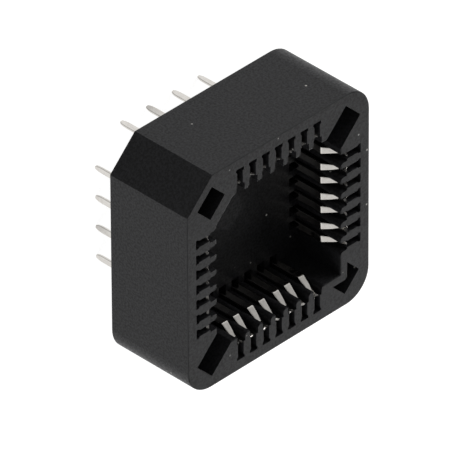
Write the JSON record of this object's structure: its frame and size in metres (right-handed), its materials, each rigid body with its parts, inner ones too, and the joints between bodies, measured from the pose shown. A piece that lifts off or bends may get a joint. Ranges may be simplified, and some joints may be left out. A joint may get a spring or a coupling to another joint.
{
  "type": "plcc through-hole socket",
  "caption": "Square black moulded socket with a keyed cavity for a leaded chip carrier, spring contacts along all four sides and solder tails underneath.",
  "frame": {"origin": "middle of the board surface that the standoffs rest on, so the solder tails reach below it", "axes": "+Z out of the cavity, away from the board; the keyed corner with the large chamfer is at -X and +Y"},
  "size_m": [0.018, 0.018, 0.0116],
  "materials": {
    "housing": "black glass-filled thermoplastic, moulded, fine matt surface",
    "contacts": "stamped copper alloy strip with a bright tin plate"
  },
  "bodies": {
    "root": {"housing": "housing", "contact_01": "contacts", "contact_02": "contacts", "contact_03": "contacts", "contact_04": "contacts", "contact_05": "contacts", "contact_06": "contacts", "contact_07": "contacts", "contact_08": "contacts", "contact_09": "contacts", "contact_10": "contacts", "contact_11": "contacts", "contact_12": "contacts", "contact_13": "contacts", "contact_14": "contacts", "contact_15": "contacts", "contact_16": "contacts", "contact_17": "contacts", "contact_18": "contacts", "contact_19": "contacts", "contact_20": "contacts", "contact_21": "contacts", "contact_22": "contacts", "contact_23": "contacts", "contact_24": "contacts", "contact_25": "contacts", "contact_26": "contacts", "contact_27": "contacts", "contact_28": "contacts"}
  },
  "joints": []
}
